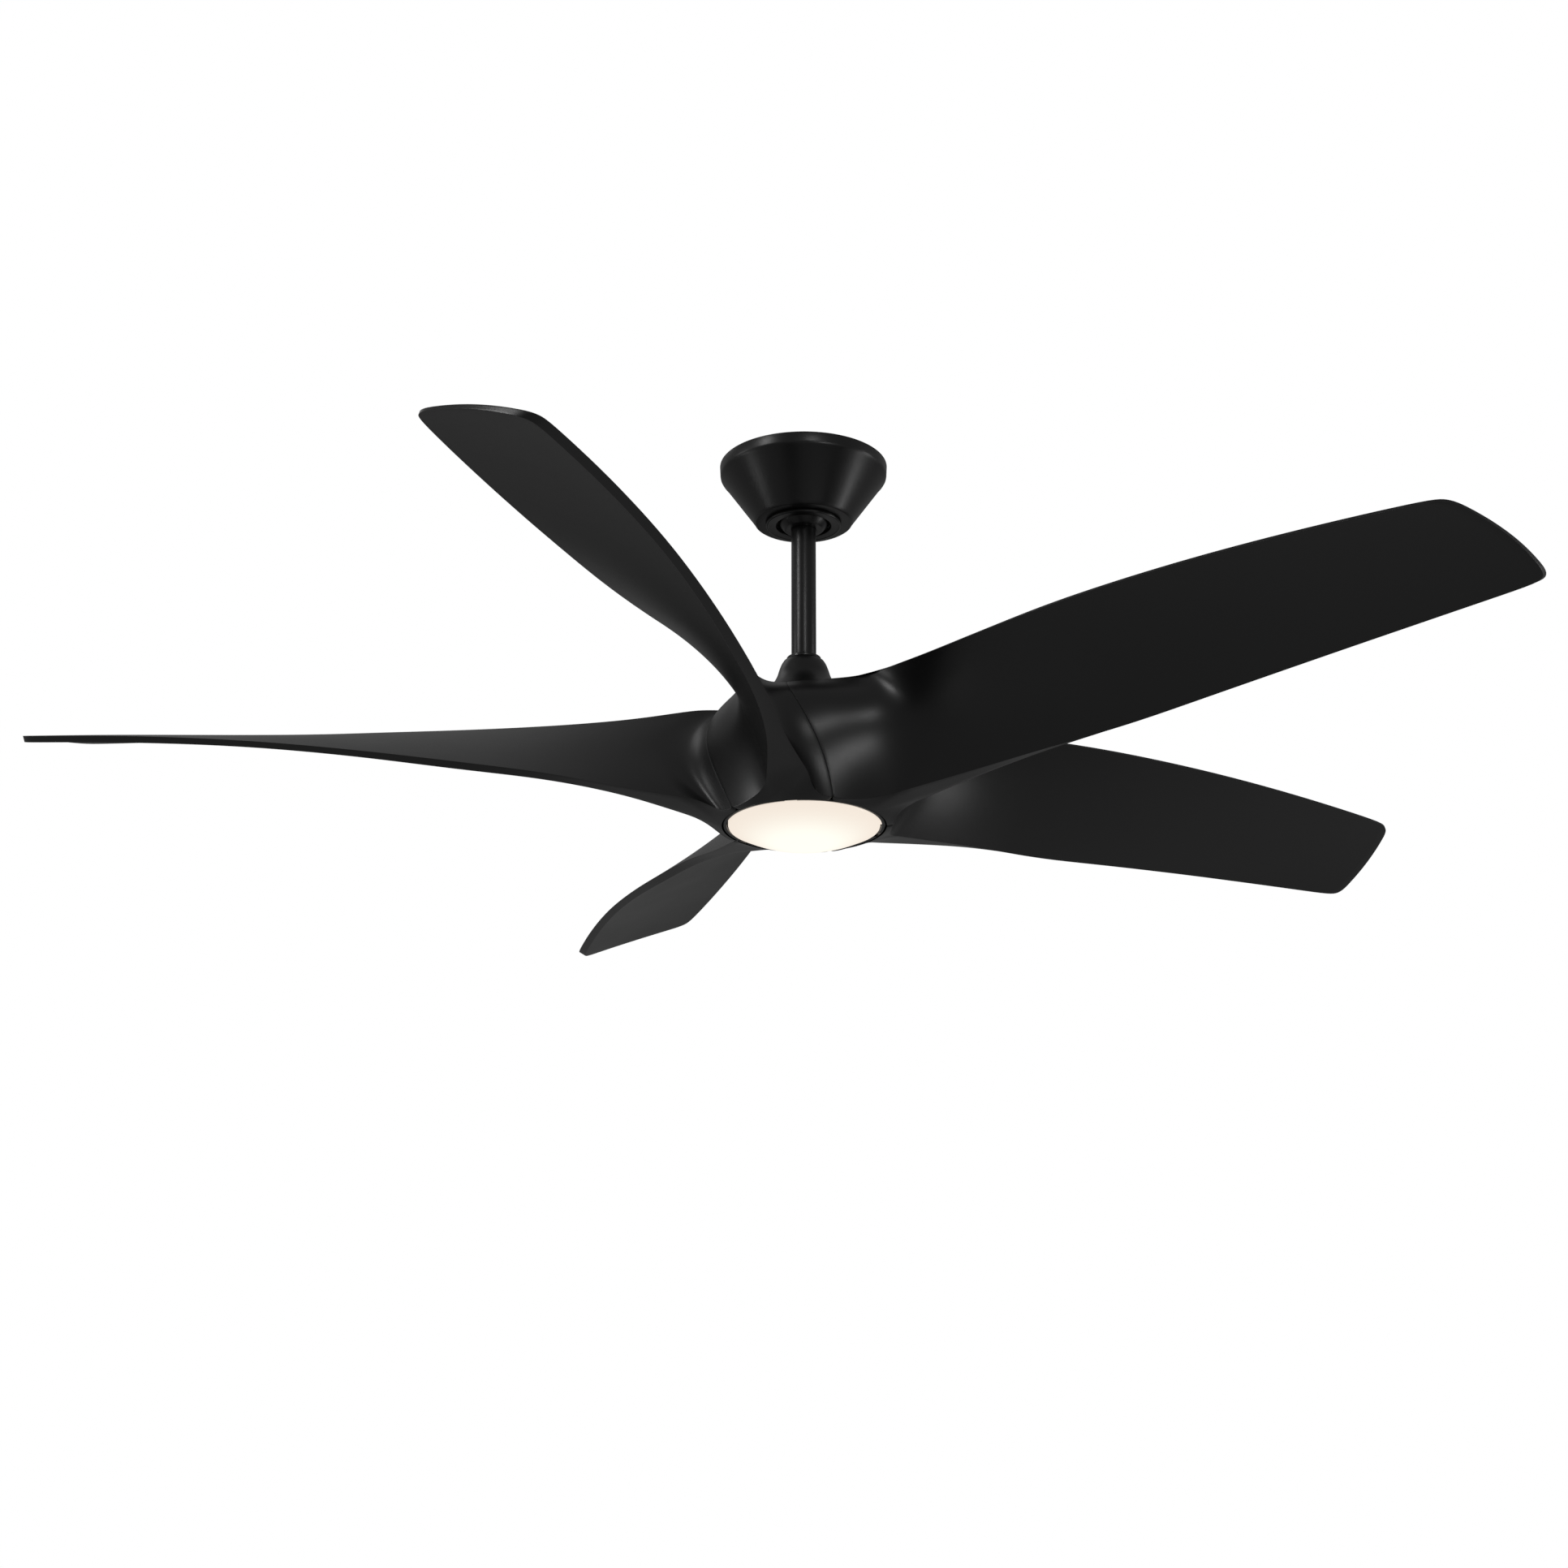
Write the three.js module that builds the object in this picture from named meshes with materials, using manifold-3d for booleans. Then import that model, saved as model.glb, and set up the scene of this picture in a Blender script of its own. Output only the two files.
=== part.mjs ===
// Five-blade ceiling fan with a light, hung from a short downrod.
// Millimetres, +Z up. The origin is the centre of the hanger bracket's face on the ceiling.
// The hub, blades, motor and light are built in a group of their own, whose heights are
// measured from the lens rim plane; the hanger, canopy and rod are measured from the ceiling.
import * as THREE from "three";
import { mergeVertices } from "three/addons/utils/BufferGeometryUtils.js";
import Module from "manifold-3d";

const wasm = await Module();
wasm.setup();

// Driving dimensions
const DROP = 332; // ceiling to lens rim plane
const BLADE_COUNT = 5;
const FIRST_BLADE_DEG = -38.4; // azimuth of blade 1, counter-clockwise from +X
const PITCH_DEG = 360 / BLADE_COUNT;
const GAP = 0.3; // running and assembly gap between touching pieces
const ROD_R = 10.65; // half-inch steel pipe
const ROD_BORE_R = 9;
const CANOPY_R = 73;
const CANOPY_H = 53.8;
const CANOPY_SCREWS = [
  [20, 20],
  [-20, -20],
];
const CANOPY_SCREW_HOLE_R = 1.9;
const SHEET = 1.5; // sheet metal of the canopy and coupling cover
const BALL_R = 25;
const BALL_Z = -41.5; // tilt centre
const SHAFT_R = 7.5;
const SHAFT_BORE_R = 4.5;
const LENS_R = 64;
const LENS_SAG = 17;
const LIGHT_R = 68.3; // outside of the fixed light ring
const HUB_OPENING_R = 69.5;
const BLADE_WALL = 3.5;
const BLADE_EDGE = 2.4; // thickness at the leading edge
const BLADE_CAMBER = 2.5;
const FLANGE_SCREW_R = 75; // circle of the blade screws
const FLANGE_Z = 44.5;
const CROWN_R = 54.1;
const YOKE_PIN_Z = 130;

const rad = THREE.MathUtils.degToRad;
const finish = (color, roughness, metalness) =>
  new THREE.MeshStandardMaterial({ color, roughness, metalness });
const blackPlastic = finish(0x0c0c0d, 0.42, 0);
const blackMetal = finish(0x0a0a0b, 0.38, 0.6);
const steel = finish(0x9b9d9f, 0.35, 1);
const zinc = finish(0xb4b6ba, 0.3, 1);
const lamination = finish(0x55575a, 0.5, 1);
const copper = finish(0xb5652f, 0.35, 1);
const magnet = finish(0x2c2c2f, 0.6, 0.2);
const aluminium = finish(0xc2c4c6, 0.4, 1);
const circuit = finish(0x1c5a34, 0.5, 0);
const whiteBoard = finish(0xe8e8e2, 0.5, 0);
const opal = finish(0xfff6ea, 0.35, 0);
const nylon = finish(0xdad7cc, 0.5, 0);
const rubber = finish(0x161616, 0.8, 0);

const fixture = new THREE.Group();
const fan = new THREE.Group();
fan.position.z = -DROP;
fixture.add(fan);

function piece(name, geometry, material, parent = fan) {
  const mesh = new THREE.Mesh(geometry, material);
  mesh.name = name;
  parent.add(mesh);
  return mesh;
}

// A closed loop of [radius, height] points turned about the Z axis.
function turned(loop, segments = 24) {
  let area = 0;
  loop.forEach(([r, z], i) => {
    const [nextR, nextZ] = loop[(i + 1) % loop.length];
    area += r * nextZ - nextR * z;
  });
  const ordered = area > 0 ? [...loop] : [...loop].reverse();
  const profile = [...ordered, ordered[0]].map(([r, z]) => new THREE.Vector2(r, z));
  return new THREE.LatheGeometry(profile, segments).rotateX(Math.PI / 2);
}

// A plain disc or ring.
function ring(innerR, outerR, low, high, segments = 24) {
  return turned([[innerR, low], [outerR, low], [outerR, high], [innerR, high]], segments);
}

// The closed loop of a sheet of even thickness under an outer profile of [radius, height]
// points, given from the top down.
function sheetLoop(outer, wall) {
  const inner = outer.map(([r, z], i) => {
    const [beforeR, beforeZ] = outer[Math.max(i - 1, 0)];
    const [afterR, afterZ] = outer[Math.min(i + 1, outer.length - 1)];
    const length = Math.hypot(afterR - beforeR, afterZ - beforeZ);
    return [
      Math.max(0, r + ((afterZ - beforeZ) / length) * wall),
      z - ((afterR - beforeR) / length) * wall,
    ];
  });
  return [...outer, ...inner.reverse()];
}

function box(width, depth, height, x, y, z) {
  return new THREE.BoxGeometry(width, depth, height).translate(x, y, z);
}

// A cylinder from one point to another along a row axis.
function rodBetween(radius, from, to, segments = 12) {
  const start = new THREE.Vector3(...from);
  const along = new THREE.Vector3(...to).sub(start);
  const turn = new THREE.Quaternion().setFromUnitVectors(
    new THREE.Vector3(0, 1, 0),
    along.clone().normalize(),
  );
  const middle = start.clone().addScaledVector(along, 0.5);
  return new THREE.CylinderGeometry(radius, radius, along.length(), segments)
    .applyQuaternion(turn)
    .translate(middle.x, middle.y, middle.z);
}

function solidOf(geometry) {
  const bare = new THREE.BufferGeometry();
  const loose = geometry.index ? geometry.toNonIndexed() : geometry;
  bare.setAttribute("position", loose.getAttribute("position"));
  const merged = mergeVertices(bare, 1e-3);
  return new wasm.Manifold(
    new wasm.Mesh({
      numProp: 3,
      vertProperties: merged.attributes.position.array,
      triVerts: new Uint32Array(merged.index.array),
    }),
  );
}

function geometryOf(solid) {
  const { vertProperties, triVerts } = solid.getMesh();
  const geometry = new THREE.BufferGeometry();
  geometry.setAttribute("position", new THREE.BufferAttribute(vertProperties, 3));
  geometry.setIndex(new THREE.BufferAttribute(triVerts, 1));
  geometry.computeVertexNormals();
  return geometry;
}

// The first geometry, joined with the added ones and cut by the removed ones.
function shaped(base, added = [], removed = []) {
  let solid = solidOf(base);
  for (const extra of added) solid = solid.add(solidOf(extra));
  for (const cutter of removed) solid = solid.subtract(solidOf(cutter));
  return geometryOf(solid);
}

// A pan-head screw whose shank points up from the underside of what it holds.
function screw(x, y, seatZ, length, shankR, headR, headH) {
  const loop = [[0, -headH], [headR, -headH], [headR, 0], [shankR, 0], [shankR, length], [0, length]];
  return turned(loop, 6).translate(x, y, seatZ);
}

// Hanger bracket: a pressed steel yoke with a flat web on the ceiling and a socket for the ball.
function addHanger() {
  const sheet = 2;
  const webLength = 100;
  const width = 34;
  const legX = 30;
  const socketTop = -49.9;
  const socketR = 31;
  const socketHoleR = 24.1;
  const slotWidth = 2 * ROD_R + 4;
  const boxScrewX = 41.3;
  const groundX = 37;
  const groundY = 11;
  const legBottom = socketTop - sheet;
  const legs = [-legX, legX].map((x) => box(sheet, width, -legBottom, x, 0, legBottom / 2));
  const socket = turned(
    [[0, legBottom], [socketR, legBottom], [socketR, socketTop], [0, socketTop]],
    32,
  );
  const holes = [
    rodBetween(socketHoleR, [0, 0, legBottom - 1], [0, 0, socketTop + 1], 32),
    box(slotWidth, socketR + 2, 2 * sheet, 0, -(socketR + 2) / 2, socketTop - sheet / 2),
    rodBetween(6, [0, 11, -3], [0, 11, 1]),
    ...CANOPY_SCREWS.map(([x, y]) =>
      rodBetween(CANOPY_SCREW_HOLE_R, [x, y, legBottom - 1], [x, y, socketTop + 1], 10),
    ),
    rodBetween(2.6, [boxScrewX, 0, -3], [boxScrewX, 0, 1]),
    rodBetween(2.6, [-boxScrewX, 0, -3], [-boxScrewX, 0, 1]),
    rodBetween(1.9, [groundX, groundY, -3], [groundX, groundY, 1], 10),
  ];
  const web = box(webLength, width, sheet, 0, 0, -sheet / 2);
  piece("hanger_bracket", shaped(web, [...legs, socket], holes), steel, fixture);

  const seatLow = socketTop + GAP;
  const seatHigh = -44.9;
  const seatR = (z) => Math.sqrt((BALL_R + GAP) ** 2 - (z - BALL_Z) ** 2);
  const seatMid = (seatLow + seatHigh) / 2;
  const seatLoop = [
    [seatR(seatLow), seatLow],
    [28, seatLow],
    [28, seatHigh],
    [seatR(seatHigh), seatHigh],
    [seatR(seatMid), seatMid],
  ];
  piece("ball_seat_pad", turned(seatLoop, 32), nylon, fixture);

  const headH = 2.4;
  [boxScrewX, -boxScrewX].forEach((x, i) => {
    const geometry = screw(x, 0, -sheet - GAP, sheet, 2.2, 4.2, headH);
    piece(`ceiling_screw_${i + 1}`, geometry, zinc, fixture);
  });
  piece("ground_screw", screw(groundX, groundY, -sheet - GAP, sheet, 1.6, 3.4, 2), zinc, fixture);
  CANOPY_SCREWS.forEach(([x, y], i) => {
    const geometry = screw(x, y, -CANOPY_H - GAP, 4, 1.5, 2.8, 1.8);
    piece(`canopy_screw_${i + 1}`, geometry, zinc, fixture);
  });
  const receiver = new THREE.BoxGeometry(52, 30, 8.5);
  piece("receiver_box", receiver.translate(0, 0, -7), blackPlastic, fixture);
}

// Canopy: a spun cup with a straight band at the ceiling and a tapered lower half.
// A snap-on trim ring under its floor hides the screws that hold it to the bracket.
function addCanopy() {
  const holeR = 24.6;
  const outer = [
    [CANOPY_R, -0.6],
    [CANOPY_R - 0.4, -9],
    [CANOPY_R - 2, -11.4],
    [43.6, -50.4],
    [41.2, -CANOPY_H],
    [holeR, -CANOPY_H],
  ];
  const holes = CANOPY_SCREWS.map(([x, y]) =>
    rodBetween(CANOPY_SCREW_HOLE_R, [x, y, -CANOPY_H - 2], [x, y, -CANOPY_H + 4], 10),
  );
  piece("canopy", shaped(turned(sheetLoop(outer, SHEET), 28), [], holes), blackMetal, fixture);
  const top = -CANOPY_H - GAP;
  const low = top - 2.9;
  const ringInnerR = 24.1;
  const ringOuterR = 32.7;
  const wall = 0.8;
  const ringLoop = [
    [ringInnerR, top],
    [ringInnerR, low],
    [ringOuterR - wall, low],
    [ringOuterR, low + wall],
    [ringOuterR, top],
    [ringOuterR - wall, top],
    [ringOuterR - wall, low + wall],
    [ringInnerR + wall, low + wall],
    [ringInnerR + wall, top],
  ];
  piece("canopy_ring", turned(ringLoop, 24), blackMetal, fixture);
}

// Hanger ball, downrod and the pins that join them. They tilt together in the socket.
function addDownrod() {
  const ballTop = -28;
  const ballLow = -60;
  const pinZ = -40;
  const pinR = 3;
  const pinHalf = 19;
  const setScrewZ = -34;
  const boreR = ROD_R + GAP;
  const loop = [[boreR, ballLow], [boreR, ballTop]];
  const lowAngle = Math.asin((ballLow - BALL_Z) / BALL_R);
  const topAngle = Math.asin((ballTop - BALL_Z) / BALL_R);
  const steps = 6;
  for (let i = 0; i <= steps; i++) {
    const angle = topAngle + ((lowAngle - topAngle) * i) / steps;
    loop.push([BALL_R * Math.cos(angle), BALL_Z + BALL_R * Math.sin(angle)]);
  }
  const pinHole = rodBetween(pinR + GAP, [-pinHalf - GAP, 0, pinZ], [pinHalf + GAP, 0, pinZ]);
  const screwHole = rodBetween(2.3, [0, 0, setScrewZ], [0, BALL_R, setScrewZ], 10);
  piece("hanger_ball", shaped(turned(loop, 24), [], [pinHole, screwHole]), blackMetal, fixture);
  piece("ball_pin", rodBetween(pinR, [-pinHalf, 0, pinZ], [pinHalf, 0, pinZ]), zinc, fixture);
  const setScrew = rodBetween(2, [0, ROD_R + GAP, setScrewZ], [0, 21.5, setScrewZ], 10);
  piece("ball_set_screw", setScrew, zinc, fixture);

  const rodTop = -29;
  const rodLow = -DROP + 118;
  const rodHoles = [pinZ, YOKE_PIN_Z - DROP].map((z) => rodBetween(pinR + GAP, [-12, 0, z], [12, 0, z]));
  const tube = ring(ROD_BORE_R, ROD_R, rodLow, rodTop, 24);
  piece("downrod", shaped(tube, [], rodHoles), blackMetal, fixture);
}

// Coupling: the cast yoke that pins the rod to the motor shaft, under its bell-shaped cover.
function addCoupling() {
  const cover = [
    [12.5, 152.3],
    [13.9, 151],
    [14.3, 148.8],
    [17.6, 147],
    [20.6, 140],
    [23.4, 133],
    [27.4, 126],
    [33.4, 118.4],
    [33.6, 117.2],
  ];
  piece("coupling_cover", turned(sheetLoop(cover, SHEET), 24), blackMetal);
  const yokeR = 15;
  const setScrewZ = 123.5;
  const yokeLoop = [
    [SHAFT_R + GAP, 100.5],
    [yokeR, 100.5],
    [yokeR, 136],
    [ROD_R + GAP, 136],
    [ROD_R + GAP, 117],
    [SHAFT_R + GAP, 117],
  ];
  const holes = [
    rodBetween(3.3, [-yokeR - 1, 0, YOKE_PIN_Z], [yokeR + 1, 0, YOKE_PIN_Z]),
    rodBetween(2.3, [0, -yokeR - 1, setScrewZ], [0, yokeR + 1, setScrewZ], 8),
  ];
  piece("motor_yoke", shaped(turned(yokeLoop, 24), [], holes), steel);
  piece("yoke_pin", rodBetween(3, [-18, 0, YOKE_PIN_Z], [19.5, 0, YOKE_PIN_Z]), zinc);
  const clip = ring(3.3, 5.4, 0, 1.2, 16).rotateY(Math.PI / 2).translate(16.6, 0, YOKE_PIN_Z);
  piece("yoke_clip", clip, zinc);
  [-1, 1].forEach((side, i) => {
    const near = side * (ROD_R + GAP);
    const far = side * (yokeR + 1.5);
    const geometry = rodBetween(2, [0, near, setScrewZ], [0, far, setScrewZ], 8);
    piece(`yoke_set_screw_${i + 1}`, geometry, zinc);
  });
}

// Motor: a fixed, wound stator on a hollow shaft, inside a rotor cup that carries the magnets.
function addMotor() {
  const teeth = 12;
  const coreR = 50.5;
  const slotOuterR = 46;
  const slotInnerR = 27;
  const shaftLoop = [
    [SHAFT_BORE_R, 5],
    [6, 5],
    [6, 14.2],
    [SHAFT_R, 14.2],
    [SHAFT_R, 115.5],
    [SHAFT_BORE_R, 115.5],
  ];
  piece("stator_shaft", turned(shaftLoop, 24), steel);

  // One tooth and the slot beside it: [radius, share of the pitch].
  const tooth = [
    [slotInnerR, -0.3],
    [slotInnerR, 0.3],
    [slotOuterR, 0.39],
    [slotOuterR, 0.06],
    [coreR, 0.04],
    [coreR, 0.96],
    [slotOuterR, 0.94],
    [slotOuterR, 0.61],
  ];
  const corners = [];
  for (let i = 0; i < teeth; i++)
    for (const [r, share] of tooth) {
      const angle = rad(((i + share) * 360) / teeth);
      corners.push(new THREE.Vector2(r * Math.cos(angle), r * Math.sin(angle)));
    }
  const outline = new THREE.Shape(corners);
  const bore = new THREE.Path().absarc(0, 0, SHAFT_R + GAP, 0, 2 * Math.PI, true);
  outline.holes.push(bore);
  const core = new THREE.ExtrudeGeometry(outline, { depth: 20, bevelEnabled: false, curveSegments: 20 });
  piece("stator_core", core.translate(0, 0, 56), lamination);
  piece("winding_upper", coil(76.3, 81.6), copper);
  piece("winding_lower", coil(49.8, 55.7), copper);

  const cupLoop = [
    [15, 30],
    [59, 30],
    [59, FLANGE_Z],
    [80, FLANGE_Z],
    [80, FLANGE_Z + 3],
    [59, FLANGE_Z + 3],
    [59, 82],
    [56, 82],
    [56, 33],
    [21, 33],
    [21, 43.5],
    [17.8, 43.5],
    [17.8, 32.7],
    [15, 32.7],
  ];
  const flangeHoles = bladeScrewPlaces().map(([x, y]) =>
    rodBetween(2.2, [x, y, FLANGE_Z - 1], [x, y, FLANGE_Z + 4], 8),
  );
  piece("rotor_cup", shaped(turned(cupLoop, 24), [], flangeHoles), aluminium);
  const coverLoop = [
    [17.8, 82.3],
    [59, 82.3],
    [59, 84.8],
    [21, 84.8],
    [21, 98],
    [15, 98],
    [15, 95.8],
    [17.8, 95.8],
  ];
  piece("rotor_cover", turned(coverLoop, 24), aluminium);
  piece("magnet_ring", ring(51.4, 55.7, 52, 80), magnet);
  const bearings = { upper: 85.5, lower: 33 };
  for (const [place, low] of Object.entries(bearings)) {
    piece(`${place}_bearing_inner`, ring(SHAFT_R + GAP, 10.6, low, low + 10, 24), steel);
    piece(`${place}_bearing_outer`, ring(14, 17.5, low, low + 10, 24), steel);
  }
  const crownLoop = [
    [50, 85.1],
    [50, 106],
    [CROWN_R, 106.8],
    [CROWN_R, 109.2],
    [45, 111.5],
    [35, 113.6],
    [24.5, 114.6],
    [24, 114],
    [24, 112.4],
    [35, 111.4],
    [45, 109.2],
    [48, 108.4],
    [48, 85.1],
  ];
  piece("hub_crown", turned(crownLoop, 24), blackPlastic);
}

// The ends of the windings, as one rounded ring on a face of the stator.
function coil(low, high) {
  const round = 1.6;
  return turned(
    [
      [29, low],
      [44, low],
      [45.5, low + round],
      [45.5, high - round],
      [44, high],
      [29, high],
      [27.5, high - round],
      [27.5, low + round],
    ],
    20,
  );
}

// Two screws hold each blade to the rotor cup's flange.
function bladeScrewPlaces() {
  const places = [];
  for (let k = 0; k < BLADE_COUNT; k++) {
    for (const offset of [-32, 12]) {
      const angle = rad(FIRST_BLADE_DEG + k * PITCH_DEG + offset);
      places.push([FLANGE_SCREW_R * Math.cos(angle), FLANGE_SCREW_R * Math.sin(angle)]);
    }
  }
  return places;
}

// Blade edges in the blade's own frame: x along the blade, y across it, z above the lens rim.
// The leading edge is the thin upper one. The trailing edge ends in a chamfer: its lower
// crease is where the chamfer meets the underside.
const curveOf = (points) =>
  new THREE.CatmullRomCurve3(points.map((p) => new THREE.Vector3(...p)));
const leadingEdge = curveOf([
  [100, -21, 111],
  [150, -32, 108.5],
  [210, -43, 108],
  [290, -54, 109],
  [380, -59, 109.3],
  [470, -60, 108],
  [570, -57, 105],
  [670, -50, 101],
]);
const trailingEdge = curveOf([
  [100, 37.5, 14.4],
  [150, 40, 22.7],
  [210, 48, 33],
  [290, 57, 42],
  [380, 63, 52],
  [470, 65, 60.5],
  [570, 62, 67],
  [670, 55.5, 70.5],
]);
const crease = curveOf([
  [100, 4, 11],
  [150, 23.5, 21.5],
  [210, 38, 30.5],
  [290, 49.5, 38],
  [380, 56.5, 48.5],
  [470, 59, 57],
  [570, 56, 63.2],
  [670, 49, 67.3],
]);
const EDGE_END_X = 670;
const EDGE_RATE = 700; // millimetres along x per unit of the curves' parameter, near the tip

// Outside of the hub, from the lens opening up to the crown: [radius, 0, height].
const hubProfile = curveOf([
  [74.2, 0, 0.8],
  [80.5, 0, 20],
  [85.5, 0, 40],
  [87.5, 0, 60],
  [84.5, 0, 80],
  [77, 0, 96],
  [58, 0, 108.5],
]);

// Where the curved seam between two blade mouldings runs round the hub, at a height.
const seamDeg = (z) => -(33 + 0.2 * z + 0.001 * z * z);

function onHub(radius, degrees, z) {
  const angle = rad(degrees);
  return new THREE.Vector3(radius * Math.cos(angle), radius * Math.sin(angle), z);
}

// Where the blade's end lies on the edge curves, for a share w of the chord from the
// trailing edge: a bulged, slanted tip with rounded corners.
function tipParameter(w) {
  const corner = 0.09;
  const cornerCut = 9;
  const toEdge = Math.min(w, 1 - w);
  const inCorner = Math.max(0, (corner - toEdge) / corner);
  const cut = cornerCut * (1 - Math.sqrt(1 - inCorner * inCorner));
  const x = 657 - 28 * w + 32 * w * (1 - w) - cut;
  return 1 - (EDGE_END_X - x) / EDGE_RATE;
}

// A point on the underside (side 0) or the topside (side 1) of the blade.
function bladePoint(t, w, side) {
  const lead = leadingEdge.getPoint(t);
  const trail = trailingEdge.getPoint(t);
  const across = new THREE.Vector3(0, lead.z - trail.z, trail.y - lead.y).normalize();
  const from = side ? trail : crease.getPoint(t);
  const to = side ? lead.clone().addScaledVector(across, BLADE_EDGE) : lead;
  const camber = BLADE_CAMBER * 4 * w * (1 - w) * Math.min(1, 3 * t);
  return from.clone().lerp(to, w).addScaledVector(across, camber);
}

// One rail of the fillet between the hub seam and the blade.
function rootRail(hubPoint, hubAngle, t, w, side, reach, steps) {
  const blade = bladePoint(t, w, side);
  const out = bladePoint(t + 0.02, w, side).sub(blade).normalize();
  const round = new THREE.Vector3(-Math.sin(hubAngle), Math.cos(hubAngle), 0);
  if (side) {
    out.z *= Math.min(1, 0.5 + 5 * w);
    round.negate();
  }
  const length = blade.distanceTo(hubPoint) * reach;
  const rail = new THREE.CubicBezierCurve3(
    hubPoint,
    hubPoint.clone().addScaledVector(round, length),
    blade.clone().addScaledVector(out, -length),
    blade,
  );
  return rail.getPoints(steps);
}

// One blade moulding with its sector of the hub, about blade azimuth 0.
function bladeGeometry() {
  const rows = [0, 0.05, 0.16, 0.38, 0.6, 0.8, 0.94, 1];
  const rootSteps = 5;
  const spanSteps = 8;
  const seamGapDeg = 0.13;
  const under = [];
  const top = [];
  const hubTop = [];
  const inner = [];
  for (const w of rows) {
    const { x: radius, z } = hubProfile.getPoint(w);
    const startDeg = seamDeg(z) + seamGapDeg;
    const endDeg = seamDeg(z) + PITCH_DEG - seamGapDeg;
    const rootT = 0.13 * Math.sin(Math.PI * w);
    const tipT = tipParameter(w);
    const start = onHub(radius, startDeg, z);
    const end = onHub(radius, endDeg, z);
    const underRow = rootRail(start, rad(startDeg), rootT, w, 0, 0.42, rootSteps);
    const topRow = [];
    for (let j = 0; j <= spanSteps; j++) {
      const t = rootT + ((tipT - rootT) * j) / spanSteps;
      if (j > 0) underRow.push(bladePoint(t, w, 0));
      topRow.push(bladePoint(t, w, 1));
    }
    under.push(underRow);
    top.push(topRow);
    hubTop.push(rootRail(end, rad(endDeg), rootT, w, 1, 0.5, rootSteps).reverse());

    const tangent = hubProfile.getTangent(w);
    let innerR = radius - tangent.z * BLADE_WALL;
    let innerZ = z + tangent.x * BLADE_WALL;
    if (w === 0) [innerR, innerZ] = [HUB_OPENING_R, 0];
    if (w === 1) [innerR, innerZ] = [CROWN_R + 0.5, 109];
    const innerRow = [];
    for (let j = 0; j <= 2 * rootSteps; j++) {
      const share = j / (2 * rootSteps);
      innerRow.push(onHub(innerR, startDeg + (endDeg - startDeg) * share, innerZ));
    }
    inner.push(innerRow);
  }

  const corners = [];
  const triangle = (a, b, c) => corners.push(a, b, c);
  const quad = (a, b, c, d) => {
    triangle(a, b, c);
    triangle(a, c, d);
  };
  const grid = (points, facesOut) => {
    for (let i = 0; i + 1 < points.length; i++)
      for (let j = 0; j + 1 < points[i].length; j++) {
        const cell = [points[i][j], points[i][j + 1], points[i + 1][j + 1], points[i + 1][j]];
        quad(...(facesOut ? cell : cell.reverse()));
      }
  };
  grid(under, true);
  grid(hubTop, true);
  grid(top, false);
  grid(inner, false);
  const last = rows.length - 1;
  const tip = rootSteps + spanSteps;
  for (let i = 0; i < last; i++) {
    quad(under[i][tip], top[i][spanSteps], top[i + 1][spanSteps], under[i + 1][tip]);
    quad(inner[i][0], under[i][0], under[i + 1][0], inner[i + 1][0]);
    const end = 2 * rootSteps;
    quad(inner[i][end], inner[i + 1][end], hubTop[i + 1][rootSteps], hubTop[i][rootSteps]);
  }
  // The chamfer and bottom ring (row 0), and the thin edge and top of the hub (last row).
  for (const row of [0, last]) {
    const face = (...points) => (row === 0 ? quad(...points) : quad(...points.reverse()));
    for (let j = 0; j < rootSteps; j++) {
      const far = rootSteps + j;
      face(inner[row][j], inner[row][j + 1], under[row][j + 1], under[row][j]);
      face(inner[row][far], inner[row][far + 1], hubTop[row][j + 1], hubTop[row][j]);
    }
    const middle = [inner[row][rootSteps], top[row][0], under[row][rootSteps]];
    triangle(...(row === 0 ? middle : middle.reverse()));
    for (let j = 0; j < spanSteps; j++) {
      const u = rootSteps + j;
      face(under[row][u], top[row][j], top[row][j + 1], under[row][u + 1]);
    }
  }
  return new THREE.BufferGeometry().setFromPoints(corners);
}

// The blades, each with an inner tab that two screws hold to the rotor flange.
function addBlades() {
  const tabLow = FLANGE_Z + 3 + GAP;
  const tabH = 5;
  const sector = new THREE.Shape();
  sector.absarc(0, 0, 85.2, rad(-43), rad(22), false);
  sector.absarc(0, 0, 70.5, rad(22), rad(-43), true);
  const tab = new THREE.ExtrudeGeometry(sector, { depth: tabH, bevelEnabled: false, curveSegments: 6 });
  tab.translate(0, 0, tabLow);
  const holes = [-32, 12].map((degrees) => {
    const { x, y } = onHub(FLANGE_SCREW_R, degrees, 0);
    return rodBetween(2.1, [x, y, tabLow - 1], [x, y, tabLow + tabH + 1], 8);
  });
  const blade = shaped(bladeGeometry(), [tab], holes);
  for (let k = 0; k < BLADE_COUNT; k++) {
    const mesh = piece(`blade_${k + 1}`, blade, blackPlastic);
    mesh.rotation.z = rad(FIRST_BLADE_DEG + k * PITCH_DEG);
  }
  bladeScrewPlaces().forEach(([x, y], i) => {
    piece(`blade_screw_${i + 1}`, screw(x, y, FLANGE_Z - GAP, 8, 1.8, 3.6, 2.2), zinc);
  });
}

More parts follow.
